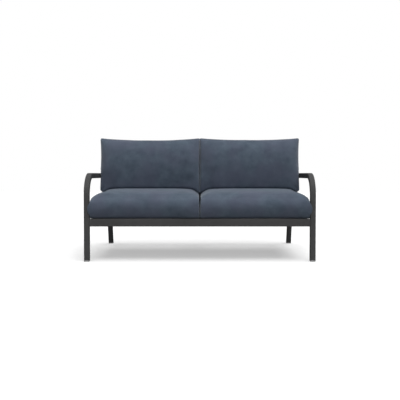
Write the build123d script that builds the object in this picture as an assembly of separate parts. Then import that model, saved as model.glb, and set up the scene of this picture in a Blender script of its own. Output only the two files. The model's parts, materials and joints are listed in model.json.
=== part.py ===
from build123d import *
import math
import os

os.makedirs("parts", exist_ok=True)

# A two-seat patio sofa: a frame of bent square tube with two seat cushions and two back cushions.
# Millimetres. +X is the viewer's right, the front faces -Y, +Z is up.
# The origin is on the ground, under the middle of the whole sofa.
# "Depth" is always counted back from the front faces of the front legs.

# Overall
overall_width = 1470
overall_depth = 846
arm_top_height = 558
back_frame_height = 722
rail_top_height = 271

# Square tube of the arms, legs and back uprights
leg_tube = 35
tube_corner = 6
tube_wall = 2

# Arm and front leg, one tube bent like a cane
arm_bend_radius = 122
arm_drop_angle = 1.7
arm_tail = 24.6

# Rear leg, which leans in under the arm
rear_leg_rake = 15.6

# Seat frame
front_rail_height = 49
front_rail_depth = 25
front_rail_setback = 4
cross_rail_width = 25
rail_corner = 4
rail_wall = 1.8

# Seat slats
slat_count = 6
slat_width = 50
slat_thickness = 10
slat_corner = 2.5
slat_wall = 1.5
slat_end_setback = 10
first_slat_depth = 85
last_slat_to_back = 43

# Back frame, whose foot stands this far in front of the rearmost point of the rear legs
back_foot_to_rear = 318
back_recline = 13
back_rail_height = 30
lower_back_rail_rise = 14
back_slats_per_side = 4
back_slat_width = 42
back_slat_thickness = 6
back_slat_corner = 1.5

# Plastic glides and end caps
glide_height = 9
glide_plug_height = 16
cap_thickness = 3
cap_plug_length = 11
plug_clearance = 0.3
cap_edge_radius = 1

# Brackets that hold the front legs to the seat frame
bracket_thickness = 4
bracket_leg_reach = 32
bracket_rail_reach = 46
bracket_height = 36
bracket_bolt_spacing = 18
bracket_first_bolt = 20
bracket_corner = 3

# Bolts with washers and rivet nuts
bolt_diameter = 6
bolt_hole_diameter = 6.6
bolt_head_width = 10
bolt_head_height = 4
bolt_grip_past_nut = 2
washer_diameter = 12
washer_thickness = 1.6
nut_body_diameter = 9
nut_length = 13
arm_bolt_spacing = 14
thread_clearance = 0.05
hole_clearance = 0.1

# Rivets that hold the slats
rivet_diameter = 4.8
rivet_head_diameter = 9
rivet_head_height = 1.4
rivet_bulb_diameter = 8
rivet_bulb_height = 3

# Cushions
cushion_gap = 1.4
cushion_side_gap = 0.7
rest_gap = 0.6
cover_thickness = 2
fill_clearance = 0.5

seat_cushion_height = 166
seat_cushion_setback = 3
seat_crown = 13
seat_top_edge_radius = 46
seat_front_edge_radius = 80
seat_bottom_edge_radius = 18
seat_corner_radius = 26
seat_side_draw = 4
seat_front_draw = 3
seat_crown_reach = 205

back_cushion_rear_swell = 117
back_cushion_front_swell = 80
back_cushion_height = 366
back_cushion_corner_radius = 16
back_cushion_top_draw = 13
back_cushion_side_draw = 3
back_edge_thickness = 9
back_cushion_flat_inset = 95
back_cushion_crown_inset = 165

# A cut runs past the faces it opens by this much
overrun = 60


def from_front(depth):
    """The Y place of a depth counted back from the front legs."""
    return depth - overall_depth / 2


def mirrored(piece):
    return mirror(piece, about=Plane.YZ)


def profile(width, height, corner, wall):
    """A rounded rectangle with the same wall all round."""
    outer = RectangleRounded(width, height, corner)
    inner = RectangleRounded(width - 2 * wall, height - 2 * wall, corner - wall)
    return outer - inner


def bar(low, high, along, corner, wall=0):
    """A straight bar that fills the box from low to high, hollow if it has a wall."""
    size = [b - a for a, b in zip(low, high)]
    middle = [(a + b) / 2 for a, b in zip(low, high)]
    plane = {"x": Plane.YZ, "y": Plane.ZX, "z": Plane.XY}[along]
    across = {"x": (1, 2), "y": (2, 0), "z": (0, 1)}[along]
    length = size["xyz".index(along)]
    width, height = size[across[0]], size[across[1]]
    if wall:
        section = profile(width, height, corner, wall)
    else:
        section = RectangleRounded(width, height, corner)
    return Pos(*middle) * extrude(plane * section, length / 2, both=True)


def block(low, high):
    """A plain box from its low corner to its high corner, for cuts."""
    size = [b - a for a, b in zip(low, high)]
    middle = [(a + b) / 2 for a, b in zip(low, high)]
    return Pos(*middle) * Box(*size)


def rod(start, direction, diameter, length):
    """A round rod from a point along a direction."""
    plane = Plane(origin=start, z_dir=direction)
    return extrude(plane * Circle(diameter / 2), length)


# Places that several pieces share
half_width = overall_width / 2
inner_half_width = half_width - leg_tube
arm_middle = half_width - leg_tube / 2
side_middle = inner_half_width - leg_tube / 2
side_inner = inner_half_width - leg_tube
rail_bottom_height = rail_top_height - front_rail_height
side_rail_top = rail_top_height - slat_thickness
rail_middle_height = (rail_bottom_height + side_rail_top) / 2
front_rail_back = front_rail_setback + front_rail_depth
nut_hole_diameter = nut_body_diameter + 2 * hole_clearance
rivet_hole_diameter = rivet_diameter + 2 * hole_clearance
rivet_seat_height = side_rail_top + slat_wall
rivet_grip = slat_wall + rail_wall + hole_clearance

back_foot_depth = overall_depth - back_foot_to_rear
last_slat_depth = back_foot_depth - last_slat_to_back

rake = math.radians(rear_leg_rake)
recline = math.radians(back_recline)
drop = math.radians(arm_drop_angle)

# Rear leg frame: local z runs up the leg, local y runs back, and the origin is on the ground
foot_length = leg_tube / math.cos(rake)
foot_middle = overall_depth - foot_length / 2
rear_leg_plane = Plane(
    origin=(side_middle, from_front(foot_middle), 0),
    x_dir=(1, 0, 0),
    z_dir=(0, -math.sin(rake), math.cos(rake)),
)

# Back frame: local x is X, local y runs up the slope, local z points forward out of the back
back_plane = Plane(
    origin=(0, from_front(back_foot_depth), rail_top_height),
    x_dir=(1, 0, 0),
    z_dir=(0, -math.cos(recline), math.sin(recline)),
)
back_slope_height = (back_frame_height - rail_top_height) / math.cos(recline)

# Arm and front leg
bend_turn = math.pi / 2 + drop
bend_tangent = arm_bend_radius * math.tan(bend_turn / 2)
leg_middle_depth = leg_tube / 2
arm_middle_at_bend = arm_top_height - leg_tube / 2 / math.cos(drop)
arm_corner_height = arm_middle_at_bend + bend_tangent * math.sin(drop)


def arm_middle_height(depth):
    """Height of the arm's centre line at a depth behind the bend."""
    return arm_corner_height - (depth - leg_middle_depth) * math.tan(drop)


def rear_leg_depth(height):
    """Depth of the rear leg's centre line at a height."""
    return foot_middle - height * math.tan(rake)


def joint_point():
    """Depth and height where the arm's centre line crosses the rear leg's."""
    lean = math.tan(rake)
    fall = math.tan(drop)
    height = arm_corner_height - (foot_middle - leg_middle_depth) * fall
    height = height / (1 - lean * fall)
    return rear_leg_depth(height), height


# The arm ends a little behind the rear leg that it is bolted to
arm_reach = joint_point()[0] + arm_tail
arm_path = FilletPolyline(
    (arm_middle, from_front(leg_middle_depth), glide_height),
    (arm_middle, from_front(leg_middle_depth), arm_corner_height),
    (arm_middle, from_front(arm_reach), arm_middle_height(arm_reach)),
    radius=arm_bend_radius,
)
leg_foot_plane = Plane(origin=(arm_middle, from_front(leg_middle_depth), glide_height))


def arm_frame():
    """Front leg and arm in one bent tube, with its bolt holes."""
    inner_side = leg_tube - 2 * tube_wall
    outer = RectangleRounded(leg_tube, leg_tube, tube_corner)
    inner = RectangleRounded(inner_side, inner_side, tube_corner - tube_wall)
    tube = sweep(leg_foot_plane * outer, path=arm_path)
    tube -= sweep(leg_foot_plane * inner, path=arm_path)
    hole_depth = tube_wall + hole_clearance
    for point in bracket_leg_points():
        tube -= rod(point, (0, -1, 0), nut_hole_diameter, hole_depth)
    for x, y, z in arm_bolt_points():
        tube -= rod((inner_half_width, y, z), (1, 0, 0), nut_hole_diameter, hole_depth)
    return tube


# Fastener places, all on the right-hand side
def bracket_leg_points():
    """Where bolts enter the rear face of the front leg."""
    offsets = (-bracket_bolt_spacing / 2, bracket_bolt_spacing / 2)
    return [(arm_middle, from_front(leg_tube), rail_middle_height + z) for z in offsets]


def bracket_rail_points():
    """Where bolts enter the outer face of the side rail."""
    first = leg_tube + bracket_first_bolt
    depths = (first, first + bracket_bolt_spacing)
    return [(inner_half_width, from_front(depth), rail_middle_height) for depth in depths]


def arm_bolt_points():
    """Where bolts pass the inner face of the rear leg, one above the other along the leg."""
    depth, height = joint_point()
    points = []
    for side in (-1, 1):
        along = side * arm_bolt_spacing / 2
        back = from_front(depth - along * math.sin(rake))
        points.append((side_inner, back, height + along * math.cos(rake)))
    return points


def slat_depths():
    step = (last_slat_depth - first_slat_depth) / (slat_count - 1)
    return [first_slat_depth + i * step for i in range(slat_count)]


def rivet_points(x_places):
    """Where rivet heads rest, inside the slats on their lower walls."""
    return [(x, from_front(depth), rivet_seat_height) for x in x_places for depth in slat_depths()]


slat_half_length = inner_half_width - slat_end_setback
outer_rivet_x = (side_inner + slat_half_length) / 2


# Seat frame
def front_rail():
    return bar(
        (-inner_half_width, from_front(front_rail_setback), rail_bottom_height),
        (inner_half_width, from_front(front_rail_back), rail_top_height),
        "x", rail_corner, rail_wall,
    )


def side_rail():
    """Runs from the front rail to the rear leg, cut to the slant of the leg."""
    rail = bar(
        (side_inner, from_front(front_rail_back), rail_bottom_height),
        (inner_half_width, from_front(rear_leg_depth(rail_bottom_height)), side_rail_top),
        "y", rail_corner, rail_wall,
    )
    behind_leg_face = rear_leg_plane * block(
        (-leg_tube, -leg_tube / 2, 0),
        (leg_tube, leg_tube + overrun, rail_top_height + overrun),
    )
    rail -= behind_leg_face
    for point in bracket_rail_points():
        rail -= rod(point, (-1, 0, 0), nut_hole_diameter, rail_wall + hole_clearance)
    for point in rivet_points([outer_rivet_x]):
        rail -= rod(point, (0, 0, -1), rivet_hole_diameter, rivet_grip)
    return rail


def rear_rail():
    middle = rear_leg_depth(rail_middle_height)
    return bar(
        (-side_inner, from_front(middle - cross_rail_width / 2), rail_bottom_height),
        (side_inner, from_front(middle + cross_rail_width / 2), side_rail_top),
        "x", rail_corner, rail_wall,
    )


def centre_rail():
    rear_face = rear_leg_depth(rail_middle_height) - cross_rail_width / 2
    rail = bar(
        (-cross_rail_width / 2, from_front(front_rail_back), rail_bottom_height),
        (cross_rail_width / 2, from_front(rear_face), side_rail_top),
        "y", rail_corner, rail_wall,
    )
    for point in rivet_points([0]):
        rail -= rod(point, (0, 0, -1), rivet_hole_diameter, rivet_grip)
    return rail


def seat_slat(depth):
    """A flat hollow bar across the sofa, riveted to both side rails and the centre rail."""
    slat = bar(
        (-slat_half_length, from_front(depth - slat_width / 2), side_rail_top),
        (slat_half_length, from_front(depth + slat_width / 2), rail_top_height),
        "x", slat_corner, slat_wall,
    )
    for x in (-outer_rivet_x, 0, outer_rivet_x):
        seat = (x, from_front(depth), rivet_seat_height)
        slat -= rod(seat, (0, 0, -1), rivet_hole_diameter, slat_wall)
        slat -= rod(seat, (0, 0, 1), rivet_head_diameter + 2 * hole_clearance, slat_thickness)
    return slat


def rivet(seat):
    """A rivet that clamps the slat's lower wall to the rail's upper wall, put in from above."""
    x, y, z = seat
    head = rod(seat, (0, 0, 1), rivet_head_diameter, rivet_head_height)
    shank = rod(seat, (0, 0, -1), rivet_diameter, rivet_grip)
    under = (x, y, z - rivet_grip)
    bulb = rod(under, (0, 0, -1), rivet_bulb_diameter, rivet_bulb_height)
    return head + shank + bulb


# Rear legs and back frame
def rear_leg():
    """Stands on its glide, leans forward and meets the rear face of the back upright."""
    leg = rear_leg_plane * bar(
        (-leg_tube / 2, -leg_tube / 2, -overrun),
        (leg_tube / 2, leg_tube / 2, back_frame_height),
        "z", tube_corner, tube_wall,
    )
    below = block(
        (side_inner - overrun, from_front(0), -leg_tube - overrun),
        (inner_half_width + overrun, from_front(overall_depth + overrun), glide_height),
    )
    leg -= below
    leg -= back_plane * block(
        (side_inner - overrun, -overrun, -leg_tube),
        (inner_half_width + overrun, back_slope_height + back_frame_height, overall_depth),
    )
    for x, y, z in arm_bolt_points():
        leg -= rod((x - overrun, y, z), (1, 0, 0), bolt_hole_diameter, 2 * overrun)
    return leg


def back_upright():
    """Stands on the side rail and leans back with the cushions."""
    upright = back_plane * bar(
        (side_inner, -overrun, -leg_tube),
        (inner_half_width, back_slope_height - cap_thickness, 0),
        "y", tube_corner, tube_wall,
    )
    return upright - block(
        (side_inner - overrun, from_front(0), 0),
        (inner_half_width + overrun, from_front(overall_depth), side_rail_top),
    )


def centre_upright():
    """Between the centre rail and the top back rail."""
    half = cross_rail_width / 2
    upright = back_plane * bar(
        (-half, -overrun, -cross_rail_width),
        (half, back_slope_height - back_rail_height, 0),
        "y", rail_corner, rail_wall,
    )
    return upright - block(
        (-overrun, from_front(0), 0),
        (overrun, from_front(overall_depth), side_rail_top),
    )


def top_back_rail():
    return back_plane * bar(
        (-side_inner, back_slope_height - back_rail_height, -cross_rail_width),
        (side_inner, back_slope_height, 0),
        "x", rail_corner, rail_wall,
    )


def lower_back_rail():
    return back_plane * bar(
        (cross_rail_width / 2, lower_back_rail_rise, -cross_rail_width),
        (side_inner, lower_back_rail_rise + back_rail_height, 0),
        "x", rail_corner, rail_wall,
    )


def back_slat(number):
    """An upright flat slat between the two back rails, counted from the middle of the sofa."""
    bay = side_inner - cross_rail_width / 2
    middle = cross_rail_width / 2 + bay * (number + 1) / (back_slats_per_side + 1)
    half = back_slat_width / 2
    return back_plane * bar(
        (middle - half, lower_back_rail_rise + back_rail_height, -back_slat_thickness),
        (middle + half, back_slope_height - back_rail_height, 0),
        "y", back_slat_corner,
    )


# Glides and caps
plug_side = leg_tube - 2 * tube_wall - 2 * plug_clearance
plug_corner = tube_corner - tube_wall


def front_glide():
    """A foot as wide as the leg, with a plug up inside the tube."""
    place = Plane(origin=(arm_middle, from_front(leg_middle_depth), 0))
    foot = extrude(place * RectangleRounded(leg_tube, leg_tube, tube_corner), glide_height)
    plug_section = RectangleRounded(plug_side, plug_side, plug_corner)
    plug = extrude(place * plug_section, glide_height + glide_plug_height)
    sole = foot.faces().sort_by(Axis.Z)[0]
    foot = chamfer(sole.edges(), cap_edge_radius)
    return foot + plug


def rear_glide():
    """The same foot on the slanting leg, cut level at the ground."""
    half = leg_tube / 2
    foot = rear_leg_plane * bar((-half, -half, -overrun), (half, half, overrun), "z", tube_corner)
    foot &= block(
        (side_inner - overrun, from_front(0), 0),
        (inner_half_width + overrun, from_front(overall_depth + overrun), glide_height),
    )
    side = plug_side / 2
    plug_top = (glide_height + glide_plug_height) / math.cos(rake)
    plug = rear_leg_plane * bar((-side, -side, 0), (side, side, plug_top), "z", plug_corner)
    plug &= block(
        (side_inner - overrun, from_front(0), glide_height / 2),
        (inner_half_width + overrun, from_front(overall_depth + overrun), back_frame_height),
    )
    return foot + plug


def end_cap(plane):
    """A cap that closes a tube's end, which the plane's z axis points out of."""
    lid = extrude(RectangleRounded(leg_tube, leg_tube, tube_corner), cap_thickness)
    outer_face = lid.faces().sort_by(Axis.Z)[-1]
    lid = fillet(outer_face.edges(), cap_edge_radius)
    plug = extrude(RectangleRounded(plug_side, plug_side, plug_corner), -cap_plug_length)
    return plane * (lid + plug)


def arm_cap():
    return end_cap(Plane(
        origin=(arm_middle, from_front(arm_reach), arm_middle_height(arm_reach)),
        x_dir=(1, 0, 0),
        z_dir=(0, math.cos(drop), -math.sin(drop)),
    ))


def upright_cap():
    top = back_plane.from_local_coords((side_middle, back_slope_height - cap_thickness, -leg_tube / 2))
    return end_cap(Plane(origin=top, x_dir=(1, 0, 0), z_dir=(0, math.sin(recline), math.cos(recline))))


# Brackets and fasteners
def leg_bracket():
    """An angle that sits in the corner behind the front leg, against the side rail."""
    low = rail_middle_height - bracket_height / 2
    high = rail_middle_height + bracket_height / 2
    on_leg = block(
        (inner_half_width, from_front(leg_tube), low),
        (inner_half_width + bracket_leg_reach, from_front(leg_tube + bracket_thickness), high),
    )
    on_rail = block(
        (inner_half_width, from_front(leg_tube), low),
        (inner_half_width + bracket_thickness, from_front(leg_tube + bracket_rail_reach), high),
    )
    bracket = on_leg + on_rail
    tips = bracket.edges().filter_by(Axis.Y).group_by(Axis.X)[-1]
    tips += bracket.edges().filter_by(Axis.X).group_by(Axis.Y)[-1]
    bracket = fillet(tips, bracket_corner)
    for x, y, z in bracket_leg_points():
        bracket -= rod((x, y - overrun, z), (0, 1, 0), bolt_hole_diameter, 2 * overrun)
    for x, y, z in bracket_rail_points():
        bracket -= rod((x - overrun, y, z), (1, 0, 0), bolt_hole_diameter, 2 * overrun)
    return bracket


def bolt(seat, direction, grip):
    """A hexagon bolt whose head rests on a seat point and whose shank runs the grip and into its nut."""
    plane = Plane(origin=seat, z_dir=direction)
    head = extrude(plane * RegularPolygon(bolt_head_width / 2, 6, major_radius=False), bolt_head_height)
    back = tuple(-part for part in direction)
    length = grip + nut_length + bolt_grip_past_nut
    return head + rod(seat, back, bolt_diameter - 2 * thread_clearance, length)


def washer(seat, direction):
    """A plain washer that lies on a seat point."""
    ring = Circle(washer_diameter / 2) - Circle(bolt_hole_diameter / 2)
    return extrude(Plane(origin=seat, z_dir=direction) * ring, washer_thickness)


def rivet_nut(seat, direction):
    """A threaded sleeve set in a hole of the clamped wall, flush with the wall at the seat point."""
    plane = Plane(origin=seat, z_dir=direction)
    ring = Circle(nut_body_diameter / 2) - Circle(bolt_diameter / 2)
    return extrude(plane * ring, nut_length)


def moved_along(point, direction, distance):
    return tuple(p + d * distance for p, d in zip(point, direction))


def bolt_set(entry, outward, stack):
    """Bolt, washer and rivet nut at one place: entry is on the nut's wall, the stack is clamped on it."""
    inward = tuple(-part for part in outward)
    washer_seat = moved_along(entry, outward, stack)
    head_seat = moved_along(washer_seat, outward, washer_thickness)
    return (
        bolt(head_seat, outward, stack + washer_thickness),
        washer(washer_seat, outward),
        rivet_nut(entry, inward),
    )


def fastener_sets():
    """All bolt sets of the right-hand side: those of the bracket, then those of the arm."""
    bracket = [bolt_set(p, (0, 1, 0), bracket_thickness) for p in bracket_leg_points()]
    bracket += [bolt_set(p, (1, 0, 0), bracket_thickness) for p in bracket_rail_points()]
    arm = [bolt_set((inner_half_width, p[1], p[2]), (-1, 0, 0), leg_tube) for p in arm_bolt_points()]
    return bracket, arm


def both_sides(pieces):
    """One group of separate solids, on the right and mirrored on the left."""
    return Compound(children=[*pieces, *[mirrored(piece) for piece in pieces]])


# Cushions
# A corner takes up no more than this share of the shorter side of its outline
corner_limit_share = 0.3


def outline(low, high, corner, draws):
    """A rounded four-sided outline from low to high, each side drawn in at its middle.

    The draws are those of the bottom, right, top and left sides.
    """
    (x0, y0), (x1, y1) = low, high
    bottom, right, top, left = draws
    corner = min(corner, corner_limit_share * min(x1 - x0, y1 - y0))
    cut = corner * (1 - math.sqrt(2) / 2)
    x_mid, y_mid = (x0 + x1) / 2, (y0 + y1) / 2
    edges = [
        side_edge((x0 + corner, y0), (x_mid, y0 + bottom), (x1 - corner, y0)),
        ThreePointArc((x1 - corner, y0), (x1 - cut, y0 + cut), (x1, y0 + corner)),
        side_edge((x1, y0 + corner), (x1 - right, y_mid), (x1, y1 - corner)),
        ThreePointArc((x1, y1 - corner), (x1 - cut, y1 - cut), (x1 - corner, y1)),
        side_edge((x1 - corner, y1), (x_mid, y1 - top), (x0 + corner, y1)),
        ThreePointArc((x0 + corner, y1), (x0 + cut, y1 - cut), (x0, y1 - corner)),
        side_edge((x0, y1 - corner), (x0 + left, y_mid), (x0, y0 + corner)),
        ThreePointArc((x0, y0 + corner), (x0 + cut, y0 + cut), (x0 + corner, y0)),
    ]
    return make_face(Curve() + edges)


def side_edge(start, middle, end):
    """A shallow arc, or a straight line where the side isn't drawn in."""
    on_line = middle[0] in (start[0], end[0]) or middle[1] in (start[1], end[1])
    if on_line:
        return Line(start, end)
    return ThreePointArc(start, middle, end)


# How far in from its edge, as shares of the edge's radius, each level of a rounded edge lies
edge_shares = (0, 0.07, 0.3, 0.65, 1)
# Levels of the straight wall between the two rounded edges, as shares of its height
wall_shares = (0.2, 0.4, 0.6, 0.8)
# Levels of the crown between the rounded edge and the flat middle
crown_shares = (0.18, 0.36, 0.54, 0.72, 0.88, 1)


def seat_levels():
    """Height, inset at sides and rear, and inset at the front, from the sole up."""
    levels = []
    for share in reversed(edge_shares):
        inset = share * seat_bottom_edge_radius
        rise = seat_bottom_edge_radius * edge_rise(share)
        levels.append((seat_bottom_edge_radius - rise, inset, inset))
    for share in wall_shares:
        height = seat_bottom_edge_radius + share * (seat_shoulder - seat_bottom_edge_radius)
        levels.append((height, 0, 0))
    for share in edge_shares:
        inset = share * seat_top_edge_radius
        rise = seat_top_edge_radius * edge_rise(share)
        height = seat_shoulder + rise + seat_crown * crown_rise(inset, seat_crown_reach)
        levels.append((height, inset, share * seat_front_edge_radius))
    for share in crown_shares:
        inset = seat_top_edge_radius + share * (seat_crown_reach - seat_top_edge_radius)
        height = seat_crown_height(inset)
        levels.append((height, inset, inset + seat_front_edge_radius - seat_top_edge_radius))
    return levels


def seat_crown_height(inset):
    """Height of the crown above the sole, at an inset past the rounded top edge."""
    return seat_shoulder + seat_top_edge_radius + seat_crown * crown_rise(inset, seat_crown_reach)


def edge_rise(share):
    """The share of a rounded edge's height reached at a share of its inset."""
    return math.sqrt(1 - (1 - share) ** 2)


def crown_rise(inset, reach):
    """The share of a crown's height reached at an inset from the edge."""
    return 1 - (1 - inset / reach) ** 2


seat_outer_x = inner_half_width - cushion_side_gap
seat_inner_x = cushion_gap / 2
seat_rear_depth = back_foot_depth - rest_gap
seat_sole_height = rail_top_height + rest_gap
seat_shoulder = seat_cushion_height - seat_crown - seat_top_edge_radius


def seat_form(skin):
    """The seat cushion's outer form, or the form that lies a skin's thickness inside it."""
    sections = []
    scale = (seat_cushion_height - 2 * skin) / seat_cushion_height
    for height, inset, front_inset in seat_levels():
        low = (seat_inner_x + skin + inset, from_front(seat_cushion_setback) + skin + front_inset)
        high = (seat_outer_x - skin - inset, from_front(seat_rear_depth) - skin - inset)
        fade = 1 - inset / seat_crown_reach
        draws = (seat_front_draw * fade, seat_side_draw * fade, 0, seat_side_draw * fade)
        level = seat_sole_height + skin + height * scale
        corner = seat_corner_radius + inset / 2
        sections.append(Pos(0, 0, level) * outline(low, high, corner, draws))
    return loft(sections)


back_seam_offset = back_cushion_rear_swell + rest_gap

# The back cushion's sole seam rests on the seat's crown, at this inset from the seat's rear edge
seat_top_rise = seat_sole_height + seat_cushion_height - rail_top_height
seam_front = (back_seam_offset + back_edge_thickness / 2) / math.cos(recline)
sole_seam_inset = seat_rear_depth - back_foot_depth - seat_top_rise * math.tan(recline) + seam_front
back_sole_height = seat_sole_height + seat_crown_height(sole_seam_inset) + rest_gap
back_sole_slope = (back_sole_height - rail_top_height) / math.cos(recline)
back_top_slope = back_sole_slope - back_seam_offset * math.tan(recline) + back_cushion_height


# The cushion stands on its sole, so the sole draws in less than the other sides
back_sole_inset_share = 0.35


# Levels of the swell, as shares of its inset from the seam to the flat middle
swell_shares = (0, 0.1, 0.22, 0.36, 0.52, 0.7, 0.86, 1)


def back_levels(swell, reach):
    """Offset from the seam, and inset from the outline, from the edge to the flat middle."""
    half_edge = back_edge_thickness / 2
    return [
        (half_edge + (swell - half_edge) * swell_rise(share), share * reach)
        for share in swell_shares
    ]


def swell_rise(share):
    """The share of a swell's height reached at a share of its inset, from a seam with a sharp edge."""
    return 1 - (1 - share) ** 2


def back_section(skin, forward, inset):
    """The back cushion's outline at a distance forward of the slats, drawn in by an inset."""
    sole = back_sole_slope - forward * math.tan(recline)
    low = (seat_inner_x + skin + inset, sole + skin + inset * back_sole_inset_share)
    high = (seat_outer_x - skin - inset, back_top_slope - skin - inset)
    fade = 1 - inset / back_cushion_crown_inset
    draws = (0, back_cushion_side_draw * fade, back_cushion_top_draw * fade, back_cushion_side_draw * fade)
    return Pos(0, 0, forward) * outline(low, high, back_cushion_corner_radius + inset / 2, draws)


def back_half(skin, side, swell, reach):
    """One swollen half of the back cushion, from its seam to the front (1) or the rear (-1)."""
    return loft([
        back_section(skin, back_seam_offset + side * offset, inset)
        for offset, inset in back_levels(swell - skin, reach)
    ])


def back_form(skin):
    """The back cushion's outer form, or the form that lies a skin's thickness inside it."""
    front = back_half(skin, 1, back_cushion_front_swell, back_cushion_crown_inset)
    rear = back_half(skin, -1, back_cushion_rear_swell, back_cushion_flat_inset)
    half_edge = back_edge_thickness / 2
    seam = loft([back_section(skin, back_seam_offset + side * half_edge, 0) for side in (-1, 1)])
    return back_plane * (front + seam + rear)


def cover_and_filling(form):
    """A cover as a thin closed bag, and the filling that lies inside it."""
    cover = form(0) - form(cover_thickness)
    return cover, form(cover_thickness + fill_clearance)


# All pieces by name
pieces = {}


def add_pair(name, piece):
    pieces["right_" + name] = piece
    pieces["left_" + name] = mirrored(piece)


add_pair("arm_frame", arm_frame())
add_pair("rear_leg", rear_leg())
add_pair("back_upright", back_upright())
add_pair("side_rail", side_rail())
add_pair("lower_back_rail", lower_back_rail())
add_pair("leg_bracket", leg_bracket())
add_pair("front_glide", front_glide())
add_pair("rear_glide", rear_glide())
add_pair("arm_cap", arm_cap())
add_pair("upright_cap", upright_cap())
for number in range(back_slats_per_side):
    add_pair("back_slat_" + str(number + 1), back_slat(number))

pieces["front_rail"] = front_rail()
pieces["rear_rail"] = rear_rail()
pieces["centre_rail"] = centre_rail()
pieces["centre_back_upright"] = centre_upright()
pieces["top_back_rail"] = top_back_rail()
for number, depth in enumerate(slat_depths()):
    pieces["seat_slat_" + str(number + 1)] = seat_slat(depth)

bracket_sets, arm_sets = fastener_sets()
for group, sets in (("bracket", bracket_sets), ("arm", arm_sets)):
    for index, kind in enumerate(("bolts", "washers", "rivet_nuts")):
        pieces[group + "_" + kind] = both_sides([entry[index] for entry in sets])
rivet_places = rivet_points([-outer_rivet_x, 0, outer_rivet_x])
pieces["slat_rivets"] = Compound(children=[rivet(place) for place in rivet_places])

seat_cover, seat_filling = cover_and_filling(seat_form)
back_cover, back_filling = cover_and_filling(back_form)
add_pair("seat_cover", seat_cover)
add_pair("seat_filling", seat_filling)
add_pair("back_cover", back_cover)
add_pair("back_filling", back_filling)

for name, piece in pieces.items():
    export_step(piece, "parts/" + name + ".step")
print(len(pieces), "pieces written")
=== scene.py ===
import json
import math

import bmesh
import bpy
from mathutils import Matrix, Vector, noise
from mathutils.bvhtree import BVHTree
from mathutils.kdtree import KDTree


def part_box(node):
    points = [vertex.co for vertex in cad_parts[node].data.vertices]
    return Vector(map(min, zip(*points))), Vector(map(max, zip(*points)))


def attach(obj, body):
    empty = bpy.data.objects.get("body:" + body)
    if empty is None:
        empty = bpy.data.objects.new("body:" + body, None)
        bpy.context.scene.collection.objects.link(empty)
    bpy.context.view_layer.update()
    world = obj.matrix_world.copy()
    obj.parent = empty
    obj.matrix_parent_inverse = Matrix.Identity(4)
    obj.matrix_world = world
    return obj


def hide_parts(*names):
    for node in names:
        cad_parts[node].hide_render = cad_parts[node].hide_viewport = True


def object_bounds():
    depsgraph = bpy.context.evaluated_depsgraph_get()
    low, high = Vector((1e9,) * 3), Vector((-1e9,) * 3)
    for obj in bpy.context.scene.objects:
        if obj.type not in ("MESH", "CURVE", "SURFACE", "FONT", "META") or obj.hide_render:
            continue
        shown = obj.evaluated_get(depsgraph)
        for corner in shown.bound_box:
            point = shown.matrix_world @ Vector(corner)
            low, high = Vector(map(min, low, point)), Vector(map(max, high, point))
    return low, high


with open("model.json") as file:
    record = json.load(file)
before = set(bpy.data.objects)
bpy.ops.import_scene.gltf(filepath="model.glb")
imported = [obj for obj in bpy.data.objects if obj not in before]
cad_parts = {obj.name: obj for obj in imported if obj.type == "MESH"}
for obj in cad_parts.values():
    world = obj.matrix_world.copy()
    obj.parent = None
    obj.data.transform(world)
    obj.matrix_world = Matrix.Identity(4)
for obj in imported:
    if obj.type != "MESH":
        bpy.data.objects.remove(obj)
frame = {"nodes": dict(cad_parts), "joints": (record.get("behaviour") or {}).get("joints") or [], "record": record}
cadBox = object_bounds()
print("frame loaded")

scene = bpy.context.scene

# Camera: straight on, a little above the seat, looking slightly down
view = {
    "focalPixels": 606.6,
    "pictureWidth": 400,
    "sensorWidth": 36.0,  # millimetres
    "distance": 3.826,  # from the front faces of the front legs
    "eyeHeight": 0.6666,
    "downTilt": 1.658,  # degrees
    "riseShift": -0.0651,  # both shifts as shares of the picture's width
    "sideShift": 0.0005,
}
mergeDistance = 1e-5  # points nearer than this are one point


def placeCamera(spec, low):
    data = bpy.data.cameras.new("camera")
    data.sensor_width = spec["sensorWidth"]
    data.lens = spec["focalPixels"] * spec["sensorWidth"] / spec["pictureWidth"]
    data.shift_x = spec["sideShift"]
    data.shift_y = spec["riseShift"]
    camera = bpy.data.objects.new("camera", data)
    camera.location = (0, low[1] - spec["distance"], spec["eyeHeight"])
    camera.rotation_euler = (math.radians(90 - spec["downTilt"]), 0, 0)
    scene.collection.objects.link(camera)
    scene.camera = camera


placeCamera(view, cadBox[0])


# Short hands for the shader nodes that the materials share
def mathNode(tree, operation, first, second=None, third=None):
    node = tree.nodes.new("ShaderNodeMath")
    node.operation = operation
    for socket, value in zip(node.inputs, (first, second, third)):
        if value is None:
            continue
        if isinstance(value, (int, float)):
            socket.default_value = value
        else:
            tree.links.new(value, socket)
    return node.outputs[0]


def vectorMathNode(tree, operation, vector, scale=None):
    node = tree.nodes.new("ShaderNodeVectorMath")
    node.operation = operation
    tree.links.new(vector, node.inputs[0])
    if scale is not None:
        tree.links.new(scale, node.inputs["Scale"])
    return node.outputs[0]


def noiseNode(tree, vector, scale, detail=2.0, roughness=0.5):
    node = tree.nodes.new("ShaderNodeTexNoise")
    node.inputs["Detail"].default_value = detail
    node.inputs["Roughness"].default_value = roughness
    for name, value in (("Vector", vector), ("Scale", scale)):
        if isinstance(value, (int, float)):
            node.inputs[name].default_value = value
        else:
            tree.links.new(value, node.inputs[name])
    return node.outputs["Fac"]


def mixColour(tree, factor, first, second):
    node = tree.nodes.new("ShaderNodeMix")
    node.data_type = "RGBA"
    tree.links.new(factor, node.inputs["Factor"])
    colourSockets = [s for s in node.inputs if s.type == "RGBA"]
    for socket, value in zip(colourSockets, (first, second)):
        if isinstance(value, (tuple, list)):
            socket.default_value = (*value, 1)
        else:
            tree.links.new(value, socket)
    return [s for s in node.outputs if s.type == "RGBA"][0]


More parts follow.
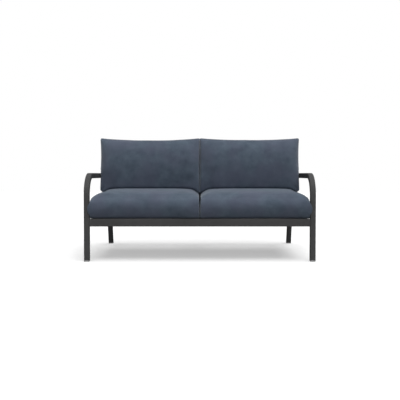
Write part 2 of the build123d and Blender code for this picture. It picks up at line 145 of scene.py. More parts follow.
def rangeNode(tree, value, reach, toLow, toHigh):
    node = tree.nodes.new("ShaderNodeMapRange")
    tree.links.new(value, node.inputs["Value"])
    node.inputs["From Min"].default_value, node.inputs["From Max"].default_value = reach
    for name, number in (("To Min", toLow), ("To Max", toHigh)):
        if isinstance(number, (int, float)):
            node.inputs[name].default_value = number
        else:
            tree.links.new(number, node.inputs[name])
    return node.outputs["Result"]


def newGroup(name, inputs, outputs):
    group = bpy.data.node_groups.new(name, "ShaderNodeTree")
    for label, kind, value in inputs:
        socket = group.interface.new_socket(name=label, in_out="INPUT", socket_type=kind)
        socket.default_value = value
    for label, kind in outputs:
        group.interface.new_socket(name=label, in_out="OUTPUT", socket_type=kind)
    return group, group.nodes.new("NodeGroupInput"), group.nodes.new("NodeGroupOutput")


number, tint, direction = "NodeSocketFloat", "NodeSocketColor", "NodeSocketVector"
noiseReach = (0.3, 0.7)  # most of a noise's values lie between these

weave = {
    "yarnScale": 420.0,
    "fleckScale": 1300.0,
    "hueScale": 5.0,
    "hueReach": (0.42, 0.62),
    "hueShare": 0.6,  # of the blotch tint, where it is strongest
    "blotchTone": 0.28,  # how far each of these moves the tone, either way
    "fleckTone": 0.12,
    "crossingTone": 0.05,
    "crossingHeight": 0.35,
    "yarnReach": (0.2, 0.8),
    "roughness": (0.82, 0.97),
}


def makeWovenCloth(spec):
    # Two-tone yarns in a plain weave, with soft blotches where the dye and the nap vary
    group, enter, leave = newGroup(
        "wovenCloth",
        [
            ("Coordinates", direction, (0, 0, 0)),
            ("Deep", tint, (0.05, 0.06, 0.08, 1)),
            ("Pale", tint, (0.1, 0.12, 0.15, 1)),
            ("Blotch Tint", tint, (0.1, 0.1, 0.13, 1)),
            ("Threads", number, 800.0),
            ("Blotch Scale", number, 14.0),
        ],
        [("Colour", tint), ("Height", number), ("Roughness", number)],
    )
    spin = mathNode(group, "MULTIPLY", enter.outputs["Threads"], 2 * math.pi)
    place = enter.outputs["Coordinates"]
    wave = vectorMathNode(group, "SINE", vectorMathNode(group, "SCALE", place, spin))
    parts = group.nodes.new("ShaderNodeSeparateXYZ")
    group.links.new(wave, parts.inputs[0])
    x, y, z = parts.outputs
    crossing = mathNode(group, "MULTIPLY_ADD", x, y, mathNode(group, "MULTIPLY", y, z))
    crossing = mathNode(group, "MULTIPLY_ADD", x, z, crossing)
    yarn = noiseNode(group, place, spec["yarnScale"], detail=3.0, roughness=0.7)
    fleck = noiseNode(group, place, spec["fleckScale"], detail=1.0)
    blotch = noiseNode(group, place, enter.outputs["Blotch Scale"], detail=3.0, roughness=0.55)
    drift = noiseNode(group, place, spec["hueScale"])
    blotch = rangeNode(group, blotch, noiseReach, -spec["blotchTone"], spec["blotchTone"])
    fleck = rangeNode(group, fleck, noiseReach, -spec["fleckTone"], spec["fleckTone"])
    tone = mathNode(group, "ADD", blotch, yarn)
    tone = mathNode(group, "MULTIPLY_ADD", crossing, spec["crossingTone"], tone)
    tone = mathNode(group, "ADD", tone, fleck)
    base = mixColour(group, tone, enter.outputs["Deep"], enter.outputs["Pale"])
    hue = rangeNode(group, drift, spec["hueReach"], 0.0, spec["hueShare"])
    group.links.new(mixColour(group, hue, base, enter.outputs["Blotch Tint"]), leave.inputs["Colour"])
    height = mathNode(group, "MULTIPLY_ADD", crossing, spec["crossingHeight"], yarn)
    group.links.new(height, leave.inputs["Height"])
    group.links.new(rangeNode(group, yarn, spec["yarnReach"], *spec["roughness"]), leave.inputs["Roughness"])
    return group


powder = {
    "driftScale": 9.0,
    "driftTone": (0.2, 0.8),
    "speckScale": 2200.0,
    "speckReach": (0.68, 0.8),  # only the noise's peaks show
    "speckTone": 0.6,
}


def makePowderCoat(spec):
    # Baked powder: a fine orange peel, slow changes of gloss and a few lighter specks
    group, enter, leave = newGroup(
        "powderCoat",
        [
            ("Coordinates", direction, (0, 0, 0)),
            ("Deep", tint, (0.02, 0.02, 0.02, 1)),
            ("Pale", tint, (0.05, 0.05, 0.05, 1)),
            ("Peel", number, 620.0),
            ("Gloss Low", number, 0.36),
            ("Gloss High", number, 0.5),
        ],
        [("Colour", tint), ("Height", number), ("Roughness", number)],
    )
    place = enter.outputs["Coordinates"]
    peel = noiseNode(group, place, enter.outputs["Peel"])
    drift = noiseNode(group, place, spec["driftScale"], detail=4.0, roughness=0.6)
    speck = noiseNode(group, place, spec["speckScale"], detail=0.0)
    broad = rangeNode(group, drift, noiseReach, *spec["driftTone"])
    tone = mathNode(group, "ADD", broad, rangeNode(group, speck, spec["speckReach"], 0.0, spec["speckTone"]))
    colour = mixColour(group, tone, enter.outputs["Deep"], enter.outputs["Pale"])
    group.links.new(colour, leave.inputs["Colour"])
    group.links.new(peel, leave.inputs["Height"])
    low, high = enter.outputs["Gloss Low"], enter.outputs["Gloss High"]
    group.links.new(rangeNode(group, drift, noiseReach, low, high), leave.inputs["Roughness"])
    return group


wovenCloth = makeWovenCloth(weave)
powderCoat = makePowderCoat(powder)


def finishedMaterial(name, group, values, bump, shaderValues):
    # The bump is its strength and its depth in metres
    material = bpy.data.materials.new(name)
    material.use_nodes = True
    tree = material.node_tree
    shader = tree.nodes["Principled BSDF"]
    for label, value in shaderValues.items():
        shader.inputs[label].default_value = value
    place = tree.nodes.new("ShaderNodeTexCoord")
    effect = tree.nodes.new("ShaderNodeGroup")
    effect.node_tree = group
    tree.links.new(place.outputs["Object"], effect.inputs["Coordinates"])
    for label, value in values.items():
        effect.inputs[label].default_value = (*value, 1) if isinstance(value, tuple) else value
    relief = tree.nodes.new("ShaderNodeBump")
    relief.inputs["Strength"].default_value, relief.inputs["Distance"].default_value = bump
    tree.links.new(effect.outputs["Height"], relief.inputs["Height"])
    tree.links.new(relief.outputs["Normal"], shader.inputs["Normal"])
    tree.links.new(effect.outputs["Colour"], shader.inputs["Base Color"])
    tree.links.new(effect.outputs["Roughness"], shader.inputs["Roughness"])
    return material


cushionCloth = finishedMaterial(
    "cushionCloth", wovenCloth,
    {
        "Deep": (0.049, 0.065, 0.090),
        "Pale": (0.102, 0.133, 0.174),
        "Blotch Tint": (0.084, 0.093, 0.134),
        "Threads": 620.0,
        "Blotch Scale": 16.0,
    },
    (0.35, 0.0006),
    {
        "Sheen Weight": 0.32,
        "Sheen Roughness": 0.5,
        "Sheen Tint": (0.87, 0.94, 1.0, 1.0),
        "Specular IOR Level": 0.05,
    },
)
frameCoat = finishedMaterial(
    "frameCoat", powderCoat,
    {"Deep": (0.064, 0.064, 0.065), "Pale": (0.086, 0.086, 0.087), "Gloss Low": 0.56, "Gloss High": 0.68},
    (0.25, 0.0004),
    {"Specular IOR Level": 0.01},
)
capPlastic = finishedMaterial(
    "capPlastic", powderCoat,
    {"Deep": (0.018, 0.018, 0.019), "Pale": (0.032, 0.032, 0.033), "Peel": 1500.0,
     "Gloss Low": 0.5, "Gloss High": 0.62},
    (0.3, 0.0003),
    {},
)
glidePlastic = finishedMaterial(
    "glidePlastic", powderCoat,
    {"Deep": (0.13, 0.13, 0.13), "Pale": (0.20, 0.20, 0.20), "Peel": 1500.0,
     "Gloss Low": 0.5, "Gloss High": 0.65},
    (0.3, 0.0003),
    {},
)
zincSteel = finishedMaterial(
    "zincSteel", powderCoat,
    {"Deep": (0.34, 0.34, 0.34), "Pale": (0.56, 0.56, 0.55), "Peel": 900.0,
     "Gloss Low": 0.26, "Gloss High": 0.42},
    (0.2, 0.0002),
    {"Metallic": 1.0},
)
frameMaterials = {
    "frame_coating": frameCoat,
    "fastener_steel": zincSteel,
    "glide_plastic": glidePlastic,
    "cap_plastic": capPlastic,
}
print("materials made")


def addPiece(name, mesh, material, body):
    piece = bpy.data.objects.new(name, mesh)
    scene.collection.objects.link(piece)
    mesh.materials.clear()
    mesh.materials.append(material)
    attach(piece, body)
    return piece


# Tubes, rails, brackets, caps and glides: the CAD shape with its shading smoothed
smoothing = {"sharpAngle": 28.0}  # degrees between two faces, past which their edge stays sharp


def finishFrame(spec):
    slotOf = {part["node"]: part["material_slot"] for part in frame["record"]["subparts"]}
    for node, source in frame["nodes"].items():
        if "cushion" in slotOf[node]:
            continue
        bm = bmesh.new()
        bm.from_mesh(source.data)
        bmesh.ops.remove_doubles(bm, verts=bm.verts[:], dist=mergeDistance)
        mesh = bpy.data.meshes.new(node + "_finish")
        bm.to_mesh(mesh)
        bm.free()
        mesh.shade_smooth()
        mesh.set_sharp_from_angle(angle=math.radians(spec["sharpAngle"]))
        piece = addPiece(node + "_finish", mesh, frameMaterials[slotOf[node]], "frame")
        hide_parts(node)


finishFrame(smoothing)
print("frame finished")

# Seat cushions: a soft block, wider than it is high, with a large round front
seatCushion = {
    "voxel": 0.0075,
    "pressure": 2.5,
    "stretch": 12.0,
    "bend": 0.4,
    "slack": 0.02,  # how much more cloth there is than the start shape needs
    "cap": 0.011,
    "clearance": 0.0007,
    "evenRounds": 40,  # the faces keep only the broad moves of the simulation
    "evenShare": 0.12,
    "cornerReach": 0.045,  # the corners beside the legs and the neighbour are filled out
    "cornerPower": 1.7,
    "cornerRounds": 2,  # of smoothing after that
    # The filling fades between these shares of the height, counted down from the crown
    "cornerTop": {"outer": (0.27, 0.55), "inner": (0.08, 0.38)},
    "soleReach": 0.050,  # near its edges the sole is pressed flat on the frame
    "soleHeight": 0.032,
    "solePower": 2,
    "frontRoll": 0.018,  # how far the front draws in at its foot
    "frontRollHeight": 0.050,
    "frontBulge": 0.016,  # how far the front stands out before the legs
    "frontBulgeHeight": 0.132,
    "frontBulgePower": 0.8,  # under 1 it is flatter than a half wave
    "frontPower": 6,  # roll and bulge die away towards the middle of the depth
    "frontCorner": 0.035,  # the upright corners are filled out over this depth
    "frontCornerGain": 1.6,  # how much sooner than the bulge the filling is full
    "shoulderDrop": 0.006,  # how far the outer shoulder hangs
    "shoulderReach": 0.090,
    "groove": 0.0045,  # half the width between the two fronts, closed at its depth
    "grooveDepth": 0.050,
    "grooveFoot": (0.045, 0.080),  # above these heights it runs all the way back
    "legOverlap": 0.013,  # how far the bulge spreads over the front of the leg
    "legOverlapStart": 0.5,  # the spread is full once this share of the bulge is past the leg
    "legClearance": 0.0015,
    "rise": -0.001,  # how much higher the crown stands than the firm block
    "fill": 0.85,
    "seamInset": 0.009,  # of the piping round each side, from the side
    "seamInsetOnTop": 0.026,
    "seamInsetAtFront": 0.003,
    "seamSteps": 150,
    "seamRadius": 0.0019,
    "seamSink": 0.0006,
}

# Back cushions: two panels sewn along one seam, swollen to the front and more to the rear
backCushion = {
    "columns": 104,
    "rows": 58,
    "droop": 0.022,  # how far the lower corners would hang below the seat's crown
    "cornerRadius": {"outer": 0.012, "inner": 0.020},
    "footRadius": {"outer": 0.055, "inner": 0.025},
    "topDip": {"left": 0.017, "right": 0.014},
    "topRise": 0.002,
    "sideDip": 0.001,
    "flare": 0.005,  # how much wider the outer corners are than the middle, at the top
    "footFlare": 0.004,
    "acrossPower": 5.0,
    "upPower": 2.0,
    "bellyRise": 0.16,  # how far above the middle the pillow is thickest, as a share
    "fullness": 0.56,  # under 1 the faces are flatter and their edges rounder
    "startShare": 0.97,  # of the cover's thickness, before the cloth swells
    "unevenness": 0.0022,
    "lumpsAcross": 3.1,
    "lumpsUp": 2.3,
    "lumpsApart": 7.0,  # so that no two pillows have the same lumps
    "rolledEdge": 0.04,  # thinner than this the faces have less of them
    "pressure": 1.2,
    "stretch": 14.0,
    "bend": 2.0,
    "slack": 0.006,
    "seamSlack": -0.010,  # below zero the seam gathers
    "seamSpare": 0.007,  # drawn in again as the seam gathers
    "cap": 0.012,
    "evenRounds": 60,  # the faces keep only the broad moves of the simulation
    "puckerReach": 0.050,  # nearer to the seam than this they keep more of the small ones
    "puckerShare": 0.45,
    "evenShare": 0.10,
    "seamRadius": 0.0016,
    "clearance": 0.0008,
    "innerClearance": 0.0016,
    "seamPull": 0.012,  # nearer than this to the neighbour, the seam is drawn up to it
    "groove": 0.0036,  # half the width between the two pillows, closed at their seams
    "innerReach": 0.022,  # the side towards the neighbour is filled out before its seam
    "innerDepth": 0.005,  # the filling starts over this depth before the seam
    "creaseHeight": 0.016,  # the face rolls in just above the seat
    "creaseDepth": 0.009,
    "armClearance": 0.012,
    "settleRounds": (3, 1, 0),  # of smoothing after each time that it is held clear
    "rayStart": 0.03,  # above the cover, from where the seat's crown is looked for
    "fill": 0.8,
}

clothRun = {"frames": 20, "quality": 6, "mass": 0.3}
pipingResolution = 2
seamBand = 0.0005  # the cover's points this near to its widest place are on its seam


def clamp(value):
    return min(1, max(0, value))


def smoothStep(share):
    return share * share * (3 - 2 * share)


def objectFromMesh(name, bm):
    mesh = bpy.data.meshes.new(name)
    bm.to_mesh(mesh)
    bm.free()
    piece = bpy.data.objects.new(name, mesh)
    scene.collection.objects.link(piece)
    return piece


def applyModifiers(piece):
    depsgraph = bpy.context.evaluated_depsgraph_get()
    mesh = bpy.data.meshes.new_from_object(piece.evaluated_get(depsgraph), depsgraph=depsgraph)
    piece.modifiers.clear()
    piece.data = mesh
    return mesh


def startSeat(side, spec):
    # The firm filling is the shape that the cloth swells from
    bm = bmesh.new()
    bm.from_mesh(frame["nodes"][side + "_seat_filling"].data)
    bmesh.ops.remove_doubles(bm, verts=bm.verts[:], dist=mergeDistance)
    piece = objectFromMesh(side + "_seat_cushion", bm)
    remesh = piece.modifiers.new("Remesh", "REMESH")
    remesh.mode = "VOXEL"
    remesh.voxel_size = spec["voxel"]
    applyModifiers(piece)
    return piece


class BackPlane:
    # Where the slats' front faces lie: across, up the slope and forward, in that order
    def __init__(self):
        low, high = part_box("left_back_slat_1")
        axis = [j for j in frame["joints"] if "back" in j["child"]][0]["axis"]
        self.up = Vector(axis).normalized()
        self.forward = Vector((0, -self.up.z, self.up.y))
        self.foot = Vector((0, low.y, low.z))

    def toWorld(self, across, up, forward):
        return Vector((across, 0, 0)) + self.foot + self.up * up + self.forward * forward

    def fromWorld(self, point):
        offset = point - self.foot
        return point.x, offset.dot(self.up), offset.dot(self.forward)


backPlane = BackPlane()


def coverReach(node):
    # The cover's reach in the back plane's own directions, and its seam, where it is widest
    places = [backPlane.fromWorld(v.co) for v in frame["nodes"][node].data.vertices]
    lows = [min(p[i] for p in places) for i in range(3)]
    highs = [max(p[i] for p in places) for i in range(3)]
    widest = max(abs(p[0]) for p in places)
    near = [p[2] for p in places if abs(p[0]) > widest - seamBand]
    return lows, highs, (min(near) + max(near)) / 2


def roundCorner(across, up, halfWidth, halfHeight, radius):
    # Squeezes the square corner of the grid onto a round one
    pastAcross = max(0.0, abs(across) - halfWidth + radius)
    pastUp = max(0.0, abs(up) - halfHeight + radius)
    if pastAcross == 0 or pastUp == 0:
        return across, up
    share = max(pastAcross, pastUp) / math.hypot(pastAcross, pastUp)
    return (math.copysign(halfWidth - radius + pastAcross * share, across),
            math.copysign(halfHeight - radius + pastUp * share, up))


def startPillow(side, spec):
    lows, highs, seam = coverReach(side + "_back_cover")
    middle = (lows[0] + highs[0]) / 2
    outward = math.copysign(1, middle)
    halfWidth = (highs[0] - lows[0]) / 2 + spec["seamSpare"]
    bottom = lows[1] - spec["droop"]
    halfHeight = (highs[1] - bottom) / 2 + spec["seamSpare"] / 2
    upMiddle = (highs[1] + bottom) / 2
    swells = {1: highs[2] - seam, -1: seam - lows[2]}
    bm = bmesh.new()
    tag = bm.verts.layers.int.new("half")
    bmesh.ops.create_grid(bm, x_segments=spec["columns"], y_segments=spec["rows"], size=1)
    for edge in bm.edges:
        edge.seam = edge.is_boundary
    copied = bmesh.ops.duplicate(bm, geom=bm.verts[:] + bm.edges[:] + bm.faces[:])["geom"]
    rearVerts = [g for g in copied if isinstance(g, bmesh.types.BMVert)]
    bmesh.ops.reverse_faces(bm, faces=[g for g in copied if isinstance(g, bmesh.types.BMFace)])
    for vert in bm.verts:
        vert[tag] = 1
    for vert in rearVerts:
        vert[tag] = -1
    for vert in bm.verts:
        # Places on the grid run from -1 to 1 both ways
        gridX, gridY = vert.co.x, vert.co.y
        rise = gridY - spec["bellyRise"] * (1 - gridY * gridY)
        fall = 1 - min(1, abs(gridX)) ** spec["acrossPower"]
        fall *= 1 - min(1, abs(rise)) ** spec["upPower"]
        swell = swells[vert[tag]] * spec["startShare"] * max(0.0, fall) ** spec["fullness"]
        apart = outward * spec["lumpsApart"] + vert[tag]
        lump = noise.noise(Vector((gridX * spec["lumpsAcross"], gridY * spec["lumpsUp"], apart)))
        swell += spec["unevenness"] * lump * min(1, swell / spec["rolledEdge"])
        across = gridX * (halfWidth - spec["sideDip"] * (1 - gridY * gridY))
        dip = spec["topDip"][side] * (1 - gridX * gridX)
        up = gridY * halfHeight + (spec["topRise"] - dip) * max(0, gridY)
        corner = "outer" if outward * gridX > 0 else "inner"
        radius = spec["cornerRadius" if gridY > 0 else "footRadius"][corner]
        across, up = roundCorner(across, up, halfWidth, halfHeight, radius)
        wider = spec["flare"] * max(0, gridY) ** 2 + spec["footFlare"] * max(0, -gridY)
        across += outward * wider * max(0, outward * gridX)
        vert.co = (middle + across, upMiddle + up, vert[tag] * swell)
    bmesh.ops.remove_doubles(bm, verts=bm.verts[:], dist=mergeDistance)
    for vert in bm.verts:
        across, up, swell = vert.co
        vert.co = backPlane.toWorld(across, up, seam + swell)
    bmesh.ops.recalc_face_normals(bm, faces=bm.faces[:])
    bm.verts.index_update()
    seamVerts = [v.index for v in bm.verts if any(e.seam for e in v.link_edges)]
    piece = objectFromMesh(side + "_back_cushion", bm)
    group = piece.vertex_groups.new(name="seam")
    group.add(seamVerts, 1.0, "REPLACE")
    return piece


def addSwell(piece, spec):
    swell = piece.modifiers.new("Swell", "CLOTH")
    cloth = swell.settings
    cloth.quality = clothRun["quality"]
    cloth.mass = clothRun["mass"]
    cloth.tension_stiffness = spec["stretch"]
    cloth.compression_stiffness = spec["stretch"]
    cloth.shear_stiffness = spec["stretch"] / 2
    cloth.bending_stiffness = spec["bend"]
    cloth.use_pressure = True
    cloth.uniform_pressure_force = spec["pressure"]
    cloth.effector_weights.gravity = 0
    swell.collision_settings.use_collision = False
    cloth.shrink_min = -spec["slack"]
    if "seamSlack" in spec:
        cloth.vertex_group_shrink = "seam"
        cloth.shrink_max = -spec["seamSlack"]
    swell.point_cache.frame_start = 1
    swell.point_cache.frame_end = clothRun["frames"]


def capMoves(piece, before, cap):
    for vert, start in zip(piece.data.vertices, before):
        move = vert.co - start
        if move.length > cap:
            vert.co = start + move * (cap / move.length)


def evenMoves(piece, before, spec):
    # Spreads the moves over the faces, so that small folds stay only as puckers along the seam
    mesh = piece.data
    moves = [v.co - start for v, start in zip(mesh.vertices, before)]
    nextTo = [[] for _ in before]
    seam = set()
    for edge in mesh.edges:
        first, second = edge.vertices
        nextTo[first].append(second)
        nextTo[second].append(first)
        if edge.use_seam:
            seam.update((first, second))
    even = moves
    for _ in range(spec["evenRounds"]):
        even = [(here + sum((even[n] for n in near), Vector())) / (1 + len(near))
                for here, near in zip(even, nextTo)]
    seamTree = KDTree(len(seam))
    for index in seam:
        seamTree.insert(before[index], index)
    seamTree.balance()
    for vert, start, raw, broad in zip(mesh.vertices, before, moves, even):
        share = spec["evenShare"]
        if seam:
            near = max(0, 1 - seamTree.find(start)[2] / spec["puckerReach"])
            share += (spec["puckerShare"] - share) * near
        vert.co = start + broad + (raw - broad) * share


def swellAll(items):
    # All cushions swell side by side, so the frames are stepped only once
    starts = []
    for piece, spec in items:
        starts.append([v.co.copy() for v in piece.data.vertices])
        addSwell(piece, spec)
    for step in range(1, clothRun["frames"] + 1):
        scene.frame_set(step)
    for (piece, spec), before in zip(items, starts):
        applyModifiers(piece)
        capMoves(piece, before, spec["cap"])
        evenMoves(piece, before, spec)
    scene.frame_set(1)


def smoothVerts(piece, chosen, rounds):
    bm = bmesh.new()
    bm.from_mesh(piece.data)
    bm.verts.ensure_lookup_table()
    verts = [bm.verts[i] for i in chosen]
    for _ in range(rounds):
        bmesh.ops.smooth_vert(bm, verts=verts, factor=0.5, use_axis_x=True, use_axis_y=True, use_axis_z=True)
    bm.to_mesh(piece.data)
    bm.free()


def nearerSide(vert, low, high, middle):
    # Which way the nearer side of the seat faces, its place and how far in from it the point lies
    outward = math.copysign(1, vert.co.x - middle.x)
    edge = high.x if outward > 0 else low.x
    return outward, edge, outward * (edge - vert.co.x)


def fillCorners(piece, spec, low, high, middle):
    # The corners of the plan are filled out to the cover's sides, but less towards the crown
    for vert in piece.data.vertices:
        down = (high.z - vert.co.z) / (high.z - low.z)
        outward, edge, inside = nearerSide(vert, low, high, middle)
        fadeStart, fadeEnd = spec["cornerTop"]["outer" if outward * middle.x > 0 else "inner"]
        share = clamp((down - fadeStart) / (fadeEnd - fadeStart))
        if 0 < inside < spec["cornerReach"]:
            fuller = inside * (inside / spec["cornerReach"]) ** spec["cornerPower"]
            vert.co.x = edge - outward * (inside + (fuller - inside) * share)
        vert.co.x = min(max(vert.co.x, low.x + spec["clearance"] / 2), high.x)
        vert.co.y = min(max(vert.co.y, low.y), high.y)
        vert.co.z = max(vert.co.z, low.z)
    smoothVerts(piece, range(len(piece.data.vertices)), spec["cornerRounds"])


def pressSole(vert, spec, low, outward, inside):
    # Near its edges the sole lies flat on the frame and is drawn out to them
    height = max(0, vert.co.z - low.z)
    behind = vert.co.y - low.y
    if min(inside, behind) >= spec["soleReach"] or height >= spec["soleHeight"]:
        return
    rising = smoothStep(height / spec["soleHeight"])
    vert.co.z = low.z + height * rising ** spec["solePower"]
    vert.co.x += outward * inside * max(0, 1 - inside / spec["soleHeight"]) * (1 - rising)
    vert.co.y -= behind * max(0, 1 - behind / spec["frontCorner"]) * (1 - rising)


def pushFront(vert, spec, low, middle, legFront, inside):
    # The front rolls in at its foot and stands out above it, over the front of the leg too
    if vert.co.y > middle.y:
        return
    height = vert.co.z - low.z
    foot = max(0, 1 - height / spec["frontRollHeight"])
    belly = math.sin(math.pi * min(1, height / spec["frontBulgeHeight"])) ** spec["frontBulgePower"]
    behind = vert.co.y - low.y
    nearSide = max(0, 1 - inside / spec["cornerReach"])
    if 0 < behind < spec["frontCorner"]:
        fuller = behind * behind / spec["frontCorner"]
        vert.co.y -= (behind - fuller) * nearSide * min(1, spec["frontCornerGain"] * belly)
    forward = (middle.y - vert.co.y) / (middle.y - low.y)
    push = spec["frontRoll"] * foot ** 2 - spec["frontBulge"] * belly
    vert.co.y += push * forward ** spec["frontPower"]
    before = legFront - spec["legClearance"] - vert.co.y
    if before > 0 and (vert.co.x - middle.x) * middle.x > 0:
        spread = min(1, before / (spec["frontBulge"] * spec["legOverlapStart"])) * nearSide
        vert.co.x += math.copysign(spec["legOverlap"] * spread, middle.x)


def openGroove(vert, spec, low, outward):
    # The two fronts round off from each other, and above the foot their tops do too
    depth = max(0, vert.co.y - low.y + spec["frontBulge"])
    closed, opened = spec["grooveFoot"]
    above = clamp((vert.co.z - low.z - closed) / (opened - closed))
    gap = spec["clearance"] / 2 + spec["groove"] * max(above, 1 - depth / spec["grooveDepth"])
    vert.co.x -= outward * max(0, gap - abs(vert.co.x))


def settleSeat(piece, spec, side):
    # The block is flat only where it rests on the slats and beside its neighbours
    low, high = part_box(side + "_seat_cover")
    middle = (low + high) / 2
    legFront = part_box(side + "_arm_frame")[0].y
    fillCorners(piece, spec, low, high, middle)
    for vert in piece.data.vertices:
        outward, _, inside = nearerSide(vert, low, high, middle)
        pressSole(vert, spec, low, outward, inside)
        pushFront(vert, spec, low, middle, legFront, inside)
        height = (vert.co.z - low.z) / (high.z - low.z)
        vert.co.z += spec["rise"] * height
        if outward * middle.x > 0:
            hang = max(0, 1 - inside / spec["shoulderReach"]) * max(0, height) ** 2
            vert.co.z -= spec["shoulderDrop"] * hang
        else:
            openGroove(vert, spec, low, outward)


def drawToNeighbour(vert, spec, outward, isSeam, ahead):
    # The seam is drawn up to the neighbour's, and the face ahead of it is filled out beside it
    if isSeam:
        gap = outward * vert.co.x - spec["innerClearance"]
        if gap < spec["seamPull"]:
            vert.co.x -= outward * (gap - max(0, gap) ** 2 / spec["seamPull"])
        return
    share = clamp(ahead / spec["innerDepth"])
    inside = outward * vert.co.x - spec["groove"] * share
    if inside < spec["innerReach"]:
        fuller = max(0, inside) ** 2 / spec["innerReach"]
        vert.co.x -= outward * (inside - fuller) * share


def settlePillow(piece, spec, side, seatTree):
    # The pillow lies against the slats and sits on the seat cushion's crown
    clear = spec["clearance"]
    low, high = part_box(side + "_back_cover")
    outward = -1 if side == "left" else 1
    outerEdge = abs(high.x if outward > 0 else low.x)
    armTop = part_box(side + "_arm_frame")[1].z + spec["armClearance"]
    seam = coverReach(side + "_back_cover")[2]
    onSeam = {v for e in piece.data.edges if e.use_seam for v in e.vertices}

    def crownUnder(vert):
        start = Vector((vert.co.x, vert.co.y, high.z + spec["rayStart"]))
        hit = seatTree.ray_cast(start, Vector((0, 0, -1)))[0]
        return -math.inf if hit is None else hit.z

    for vert in piece.data.vertices:
        ahead = backPlane.fromWorld(vert.co)[2] - seam
        drawToNeighbour(vert, spec, outward, vert.index in onSeam, ahead)
        if ahead > 0:
            near = max(0, 1 - max(0, vert.co.z - crownUnder(vert)) / spec["creaseHeight"])
            vert.co -= backPlane.forward * spec["creaseDepth"] * near ** 2
    for rounds in spec["settleRounds"]:
        touched = set()
        for vert in piece.data.vertices:
            inner = (spec["innerClearance"] if vert.index in onSeam else clear) - outward * vert.co.x
            outer = outward * vert.co.x - outerEdge
            if inner > 0:
                vert.co.x += outward * inner
            if outer > 0 and vert.co.z < armTop:
                vert.co.x -= outward * outer
            across, up, forward = backPlane.fromWorld(vert.co)
            if forward < clear:
                vert.co = backPlane.toWorld(across, up, clear)
                touched.add(vert.index)
            crown = crownUnder(vert) + clear
            if vert.co.z < crown:
                vert.co.z = crown
                touched.add(vert.index)
        if rounds:
            smoothVerts(piece, sorted(touched), rounds)


def seamLoop(mesh):
    # The seam's points in order round the pillow
    links = {}
    for edge in mesh.edges:
        if edge.use_seam:
            first, second = edge.vertices
            links.setdefault(first, []).append(second)
            links.setdefault(second, []).append(first)
    loop, last = [min(links)], None
    while len(loop) < len(links):
        here = loop[-1]
        loop.append([n for n in links[here] if n != last][0])
        last = here
    return [mesh.vertices[i].co.copy() for i in loop]


def tubeMesh(name, loops, radius):
    curve = bpy.data.curves.new(name, "CURVE")
    curve.dimensions = "3D"
    curve.bevel_depth = radius
    curve.bevel_resolution = pipingResolution
    for loop in loops:
        spline = curve.splines.new("POLY")
        spline.points.add(len(loop) - 1)
        for point, place in zip(spline.points, loop):
            point.co = (*place, 1)
        spline.use_cyclic_u = True
    holder = bpy.data.objects.new(name, curve)
    scene.collection.objects.link(holder)
    depsgraph = bpy.context.evaluated_depsgraph_get()
    mesh = bpy.data.meshes.new_from_object(holder.evaluated_get(depsgraph), depsgraph=depsgraph)
    bpy.data.objects.remove(holder)
    return mesh


def treeOf(piece):
    mesh = piece.data
    return BVHTree.FromPolygons([v.co for v in mesh.vertices], [p.vertices for p in mesh.polygons])


def sideSeam(seatTree, spec, side, outward):
    # Piping round a side panel: it cuts the corner of the top, where the cushion is roundest
    low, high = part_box(side + "_seat_cover")
    edge = high.x if outward > 0 else low.x
    isOuter = outward * (low.x + high.x) > 0
    loop = []
    for step in range(spec["seamSteps"]):
        turn = 2 * math.pi * step / spec["seamSteps"]
        onTop = max(0, math.sin(turn)) ** 2
        atFront = max(0, -math.cos(turn)) ** 4 if isOuter else 0
        inset = spec["seamInset"] + (spec["seamInsetOnTop"] - spec["seamInset"]) * onTop
        inset -= (spec["seamInset"] - spec["seamInsetAtFront"]) * atFront
        start = Vector((edge - outward * inset, (low.y + high.y) / 2, (low.z + high.z) / 2))
        reach = Vector((0, math.cos(turn) * (high.y - low.y), math.sin(turn) * (high.z - low.z)))
        place, normal, _, _ = seatTree.ray_cast(start, reach.normalized())
        loop.append(place - normal * spec["seamSink"])
    return loop


def addPiping(name, loops, radius, body):
    piping = tubeMesh(name, loops, radius)
    piping.shade_smooth()
    addPiece(name, piping, cushionCloth, body)


def finishCushion(piece, body, nodes):
    piece.vertex_groups.clear()
    piece.data.materials.clear()
    piece.data.materials.append(cushionCloth)
    piece.data.shade_smooth()
    crease = piece.data.attributes.new("crease_edge", "FLOAT", "EDGE")
    for edge in piece.data.edges:
        crease.data[edge.index].value = 1.0 if edge.use_seam else 0.0
    soften = piece.modifiers.new("Soften", "SUBSURF")
    soften.levels = 1
    soften.render_levels = 1
    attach(piece, body)
    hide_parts(*nodes)


def makeCushions():
    seats = {side: startSeat(side, seatCushion) for side in ("left", "right")}
    pillows = {side: startPillow(side, backCushion) for side in ("left", "right")}
    items = [(piece, seatCushion) for piece in seats.values()]
    items += [(piece, backCushion) for piece in pillows.values()]
    swellAll(items)
    for side in ("left", "right"):
        settleSeat(seats[side], seatCushion, side)
        seatTree = treeOf(seats[side])
        settlePillow(pillows[side], backCushion, side, seatTree)
        sides = [sideSeam(seatTree, seatCushion, side, outward) for outward in (-1, 1)]
        addPiping(side + "_seat_seams", sides, seatCushion["seamRadius"], side + "_seat_cushion")
        around = [seamLoop(pillows[side].data)]
        addPiping(side + "_back_seam", around, backCushion["seamRadius"], side + "_back_cushion")
        finishCushion(seats[side], side + "_seat_cushion",
                      [side + "_seat_cover", side + "_seat_filling"])
        finishCushion(pillows[side], side + "_back_cushion",
                      [side + "_back_cover", side + "_back_filling"])


makeCushions()
print("cushions made")

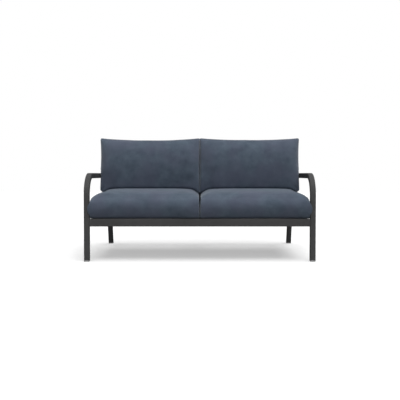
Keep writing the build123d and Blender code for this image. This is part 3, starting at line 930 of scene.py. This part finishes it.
# Floor, white for the camera and mid grey for the light that it sends back
studio = {
    "floorSize": 14.0,
    "floorDrop": 0.0005,  # below the feet
    "grainScale": 40.0,
    "grainShade": 0.985,
    "floorBounce": (0.41, 0.41, 0.41),
    "floorSeen": (0.66, 0.66, 0.66),
    "floorLift": 0.42,
    "worldLight": 0.065,
    "keyHeight": 79.0,  # degrees above the horizon, from the front
    "keySide": 10.0,  # degrees over to the right
    "keyPower": 3.0,
    "keySoftness": 60.0,  # degrees that the lamp's disc spans
    "fillHeight": 35.0,
    "fillPower": 0.80,
    "fillSoftness": 70.0,
}


def makeFloor(spec):
    bm = bmesh.new()
    bmesh.ops.create_grid(bm, x_segments=1, y_segments=1, size=spec["floorSize"] / 2)
    bmesh.ops.translate(bm, vec=(0, 0, -spec["floorDrop"]), verts=bm.verts[:])
    floor = objectFromMesh("floor", bm)
    material = bpy.data.materials.new("floorWhite")
    material.use_nodes = True
    tree = material.node_tree
    tree.nodes.clear()
    out = tree.nodes.new("ShaderNodeOutputMaterial")
    path = tree.nodes.new("ShaderNodeLightPath")
    seen = mathNode(tree, "MAXIMUM", path.outputs["Is Camera Ray"], path.outputs["Is Glossy Ray"])
    place = tree.nodes.new("ShaderNodeTexCoord")
    grain = noiseNode(tree, place.outputs["Object"], spec["grainScale"], detail=3.0)
    shaded = tuple(c * spec["grainShade"] for c in spec["floorSeen"])
    pale = mixColour(tree, grain, shaded, spec["floorSeen"])
    colour = mixColour(tree, seen, spec["floorBounce"], pale)
    matte = tree.nodes.new("ShaderNodeBsdfDiffuse")
    tree.links.new(colour, matte.inputs["Color"])
    lift = tree.nodes.new("ShaderNodeEmission")
    tree.links.new(mathNode(tree, "MULTIPLY", seen, spec["floorLift"]), lift.inputs["Strength"])
    total = tree.nodes.new("ShaderNodeAddShader")
    tree.links.new(matte.outputs[0], total.inputs[0])
    tree.links.new(lift.outputs[0], total.inputs[1])
    tree.links.new(total.outputs[0], out.inputs["Surface"])
    floor.data.materials.append(material)


def placeLamp(name, power, softness, height, side):
    data = bpy.data.lights.new(name, "SUN")
    data.energy = power
    data.angle = math.radians(softness)
    lamp = bpy.data.objects.new(name, data)
    lamp.rotation_euler = (math.radians(90 - height), math.radians(side), 0)
    scene.collection.objects.link(lamp)


def makeLight(spec):
    world = bpy.data.worlds.new("studio")
    scene.world = world
    world.use_nodes = True
    tree = world.node_tree
    tree.nodes.clear()
    out = tree.nodes.new("ShaderNodeOutputWorld")
    path = tree.nodes.new("ShaderNodeLightPath")
    seen = mathNode(tree, "MAXIMUM", path.outputs["Is Camera Ray"], path.outputs["Is Glossy Ray"])
    seen = mathNode(tree, "MAXIMUM", seen, path.outputs["Is Transmission Ray"])
    light = tree.nodes.new("ShaderNodeBackground")
    tree.links.new(rangeNode(tree, seen, (0, 1), spec["worldLight"], 1.0), light.inputs["Strength"])
    tree.links.new(light.outputs[0], out.inputs["Surface"])
    light.inputs["Color"].default_value = (1, 1, 1, 1)
    placeLamp("key", spec["keyPower"], spec["keySoftness"], spec["keyHeight"], spec["keySide"])
    placeLamp("fill", spec["fillPower"], spec["fillSoftness"], spec["fillHeight"], 0)


makeFloor(studio)
makeLight(studio)
scene.view_settings.view_transform = "Standard"
print("studio ready")
